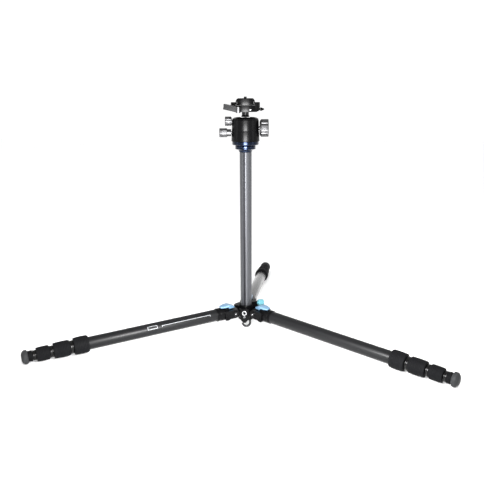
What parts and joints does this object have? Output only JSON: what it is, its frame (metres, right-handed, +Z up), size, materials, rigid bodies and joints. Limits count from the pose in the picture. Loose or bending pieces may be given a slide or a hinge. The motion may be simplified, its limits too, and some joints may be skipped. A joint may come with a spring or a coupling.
{
  "type": "travel tripod with ball head",
  "caption": "Compact folding tripod with spread telescoping legs, a grooved centre column, and a ball head with a lever clamp that carries a camera.",
  "frame": {"origin": "on the floor, on the centre column's axis", "axes": "+Z up along the column, +Y along the back leg, +X to the right seen from the front, between the left and right legs"},
  "size_m": [0.7966, 0.6938, 0.4864],
  "materials": {
    "satin_black": "satin black anodised",
    "deep_blue": "deep blue anodised",
    "sky_blue": "light blue anodised",
    "turquoise": "turquoise anodised",
    "silver": "satin machined",
    "column_grey": "grey anodised, brushed lengthwise",
    "tube_grey": "dark grey anodised",
    "rubber_black": "ribbed matt",
    "foot_grey": "matt",
    "nylon": "matt",
    "steel": "bright"
  },
  "bodies": {
    "crown": {"crown": "satin_black", "column_bushing": "nylon", "accessory_port": "silver", "port_screw": "steel", "pivot_bolt_left": "steel", "pivot_bolt_right": "steel", "pivot_bolt_back": "steel"},
    "column_knob": {"column_lock_knob": "turquoise"},
    "column": {"column_tube": "column_grey", "column_end_cap": "satin_black", "column_platform": "deep_blue", "head_stud": "steel", "pan_base": "deep_blue"},
    "hook": {"bag_hook": "steel"},
    "head": {"head_housing": "satin_black", "ball_seat": "nylon", "ball_retainer": "satin_black"},
    "main_knob": {"main_knob": "silver"},
    "friction_knob": {"friction_knob": "silver"},
    "pan_knob": {"pan_knob": "silver"},
    "ball": {"ball": "steel"},
    "stem": {"stem": "satin_black"},
    "clamp": {"clamp_body": "satin_black", "keeper_screw": "steel"},
    "jaw": {"clamp_jaw": "satin_black"},
    "lever": {"clamp_lever": "silver"},
    "release_pin": {"plate_release_pin": "satin_black"},
    "plate": {"quick_release_plate": "satin_black", "plate_pad": "rubber_black"},
    "camera_screw": {"camera_screw": "steel"},
    "leg_left": {"leg_casting_left": "satin_black", "leg_tube_1_left": "tube_grey"},
    "latch_left": {"angle_latch_left": "sky_blue"},
    "lock_1_left": {"twist_lock_1_left": "rubber_black"},
    "section_2_left": {"leg_tube_2_left": "tube_grey"},
    "lock_2_left": {"twist_lock_2_left": "rubber_black"},
    "section_3_left": {"leg_tube_3_left": "tube_grey"},
    "lock_3_left": {"twist_lock_3_left": "rubber_black"},
    "section_4_left": {"leg_tube_4_left": "tube_grey", "foot_left": "foot_grey"},
    "leg_right": {"leg_casting_right": "satin_black", "leg_tube_1_right": "tube_grey"},
    "latch_right": {"angle_latch_right": "sky_blue"},
    "lock_1_right": {"twist_lock_1_right": "rubber_black"},
    "section_2_right": {"leg_tube_2_right": "tube_grey"},
    "lock_2_right": {"twist_lock_2_right": "rubber_black"},
    "section_3_right": {"leg_tube_3_right": "tube_grey"},
    "lock_3_right": {"twist_lock_3_right": "rubber_black"},
    "section_4_right": {"leg_tube_4_right": "tube_grey", "foot_right": "foot_grey"},
    "leg_back": {"leg_casting_back": "satin_black", "leg_tube_1_back": "tube_grey"},
    "latch_back": {"angle_latch_back": "sky_blue"},
    "lock_1_back": {"twist_lock_1_back": "rubber_black"},
    "section_2_back": {"leg_tube_2_back": "tube_grey"},
    "lock_2_back": {"twist_lock_2_back": "rubber_black"},
    "section_3_back": {"leg_tube_3_back": "tube_grey"},
    "lock_3_back": {"twist_lock_3_back": "rubber_black"},
    "section_4_back": {"leg_tube_4_back": "tube_grey", "foot_back": "foot_grey"}
  },
  "joints": [
    {"name": "column_lock_turn", "type": "hinge", "parent": "crown", "child": "column_knob", "pos_m": [0, 0, 0.05588], "axis": [0.866, 0.5, 0], "range_deg": [0, 270]},
    {"name": "column_lower", "type": "slide", "parent": "crown", "child": "column", "axis": [0, 0, -1], "range_m": [0, 0.26]},
    {"name": "hook_swivel", "type": "hinge", "parent": "column", "child": "hook", "pos_m": [0.00853, 0.00112, 0.02439], "axis": [0, 0, 1], "continuous": true},
    {"name": "head_pan", "type": "hinge", "parent": "column", "child": "head", "pos_m": [0, 0, 0.39938], "axis": [0, 0, 1], "continuous": true},
    {"name": "main_knob_turn", "type": "hinge", "parent": "head", "child": "main_knob", "pos_m": [0.02977, 0.00371, 0.42539], "axis": [0.9923, 0.1236, 0], "range_deg": [0, 270]},
    {"name": "friction_knob_turn", "type": "hinge", "parent": "head", "child": "friction_knob", "pos_m": [-0.02977, -0.00371, 0.43889], "axis": [-0.9923, -0.1236, 0], "range_deg": [0, 270]},
    {"name": "pan_knob_turn", "type": "hinge", "parent": "head", "child": "pan_knob", "pos_m": [-0.02977, -0.00371, 0.41639], "axis": [-0.9923, -0.1236, 0], "range_deg": [0, 270]},
    {"name": "ball_tilt_side", "type": "hinge", "parent": "head", "child": "ball", "pos_m": [0, 0, 0.42858], "axis": [-0.1236, 0.9923, 0], "range_deg": [-12, 24]},
    {"name": "ball_tilt_front_back", "type": "hinge", "parent": "ball", "child": "stem", "pos_m": [0, 0, 0.42858], "axis": [-0.9923, -0.1236, 0], "range_deg": [-26, 85]},
    {"name": "ball_turn", "type": "hinge", "parent": "stem", "child": "clamp", "pos_m": [0, 0, 0.45638], "axis": [0, 0, 1], "continuous": true},
    {"name": "clamp_lever_open", "type": "hinge", "parent": "clamp", "child": "lever", "pos_m": [-0.01074, -0.02704, 0.46138], "axis": [0, 0, 1], "range_deg": [0, 100]},
    {"name": "jaw_open", "type": "slide", "parent": "clamp", "child": "jaw", "axis": [-0.9923, -0.1236, 0], "range_m": [0, 0.0025]},
    {"name": "release_pin_press", "type": "slide", "parent": "clamp", "child": "release_pin", "axis": [-0.9923, -0.1236, 0], "range_m": [0, 0.003], "stiffness_N_per_m": 300, "springref_m": -0.002},
    {"name": "plate_slide", "type": "slide", "parent": "clamp", "child": "plate", "axis": [0.1236, -0.9923, 0], "range_m": [0, 0.038]},
    {"name": "camera_screw_turn", "type": "hinge", "parent": "plate", "child": "camera_screw", "pos_m": [0, 0, 0.47439], "axis": [0, 0, 1], "continuous": true},
    {"name": "leg_swing_left", "type": "hinge", "parent": "crown", "child": "leg_left", "pos_m": [-0.02598, -0.015, 0.04439], "axis": [0.5, -0.866, 0], "range_deg": [-80, 82]},
    {"name": "latch_pull_left", "type": "slide", "parent": "leg_left", "child": "latch_left", "axis": [-0.8637, -0.4987, -0.0732], "range_m": [0, 0.006], "stiffness_N_per_m": 300, "springref_m": -0.002},
    {"name": "lock_1_turn_left", "type": "hinge", "parent": "leg_left", "child": "lock_1_left", "pos_m": [-0.02598, -0.015, 0.04439], "axis": [-0.8637, -0.4987, -0.0732], "range_deg": [0, 120]},
    {"name": "section_2_slide_left", "type": "slide", "parent": "leg_left", "child": "section_2_left", "axis": [-0.8637, -0.4987, -0.0732], "range_m": [0, 0.25]},
    {"name": "lock_2_turn_left", "type": "hinge", "parent": "section_2_left", "child": "lock_2_left", "pos_m": [-0.02598, -0.015, 0.04439], "axis": [-0.8637, -0.4987, -0.0732], "range_deg": [0, 120]},
    {"name": "section_3_slide_left", "type": "slide", "parent": "section_2_left", "child": "section_3_left", "axis": [-0.8637, -0.4987, -0.0732], "range_m": [0, 0.25]},
    {"name": "lock_3_turn_left", "type": "hinge", "parent": "section_3_left", "child": "lock_3_left", "pos_m": [-0.02598, -0.015, 0.04439], "axis": [-0.8637, -0.4987, -0.0732], "range_deg": [0, 120]},
    {"name": "section_4_slide_left", "type": "slide", "parent": "section_3_left", "child": "section_4_left", "axis": [-0.8637, -0.4987, -0.0732], "range_m": [0, 0.25]},
    {"name": "leg_swing_right", "type": "hinge", "parent": "crown", "child": "leg_right", "pos_m": [0.02598, -0.015, 0.04439], "axis": [0.5, 0.866, 0], "range_deg": [-80, 82]},
    {"name": "latch_pull_right", "type": "slide", "parent": "leg_right", "child": "latch_right", "axis": [0.8637, -0.4987, -0.0732], "range_m": [0, 0.006], "stiffness_N_per_m": 300, "springref_m": -0.002},
    {"name": "lock_1_turn_right", "type": "hinge", "parent": "leg_right", "child": "lock_1_right", "pos_m": [0.02598, -0.015, 0.04439], "axis": [0.8637, -0.4987, -0.0732], "range_deg": [0, 120]},
    {"name": "section_2_slide_right", "type": "slide", "parent": "leg_right", "child": "section_2_right", "axis": [0.8637, -0.4987, -0.0732], "range_m": [0, 0.25]},
    {"name": "lock_2_turn_right", "type": "hinge", "parent": "section_2_right", "child": "lock_2_right", "pos_m": [0.02598, -0.015, 0.04439], "axis": [0.8637, -0.4987, -0.0732], "range_deg": [0, 120]},
    {"name": "section_3_slide_right", "type": "slide", "parent": "section_2_right", "child": "section_3_right", "axis": [0.8637, -0.4987, -0.0732], "range_m": [0, 0.25]},
    {"name": "lock_3_turn_right", "type": "hinge", "parent": "section_3_right", "child": "lock_3_right", "pos_m": [0.02598, -0.015, 0.04439], "axis": [0.8637, -0.4987, -0.0732], "range_deg": [0, 120]},
    {"name": "section_4_slide_right", "type": "slide", "parent": "section_3_right", "child": "section_4_right", "axis": [0.8637, -0.4987, -0.0732], "range_m": [0, 0.25]},
    {"name": "leg_swing_back", "type": "hinge", "parent": "crown", "child": "leg_back", "pos_m": [0, 0.03, 0.04439], "axis": [-1, 0, 0], "range_deg": [-80, 82]},
    {"name": "latch_pull_back", "type": "slide", "parent": "leg_back", "child": "latch_back", "axis": [0, 0.9973, -0.0732], "range_m": [0, 0.006], "stiffness_N_per_m": 300, "springref_m": -0.002},
    {"name": "lock_1_turn_back", "type": "hinge", "parent": "leg_back", "child": "lock_1_back", "pos_m": [0, 0.03, 0.04439], "axis": [0, 0.9973, -0.0732], "range_deg": [0, 120]},
    {"name": "section_2_slide_back", "type": "slide", "parent": "leg_back", "child": "section_2_back", "axis": [0, 0.9973, -0.0732], "range_m": [0, 0.25]},
    {"name": "lock_2_turn_back", "type": "hinge", "parent": "section_2_back", "child": "lock_2_back", "pos_m": [0, 0.03, 0.04439], "axis": [0, 0.9973, -0.0732], "range_deg": [0, 120]},
    {"name": "section_3_slide_back", "type": "slide", "parent": "section_2_back", "child": "section_3_back", "axis": [0, 0.9973, -0.0732], "range_m": [0, 0.25]},
    {"name": "lock_3_turn_back", "type": "hinge", "parent": "section_3_back", "child": "lock_3_back", "pos_m": [0, 0.03, 0.04439], "axis": [0, 0.9973, -0.0732], "range_deg": [0, 120]},
    {"name": "section_4_slide_back", "type": "slide", "parent": "section_3_back", "child": "section_4_back", "axis": [0, 0.9973, -0.0732], "range_m": [0, 0.25]}
  ],
  "couplings": [
    {"joint": "jaw_open", "follows": "clamp_lever_open", "m_per_rad": 0.00143}
  ]
}
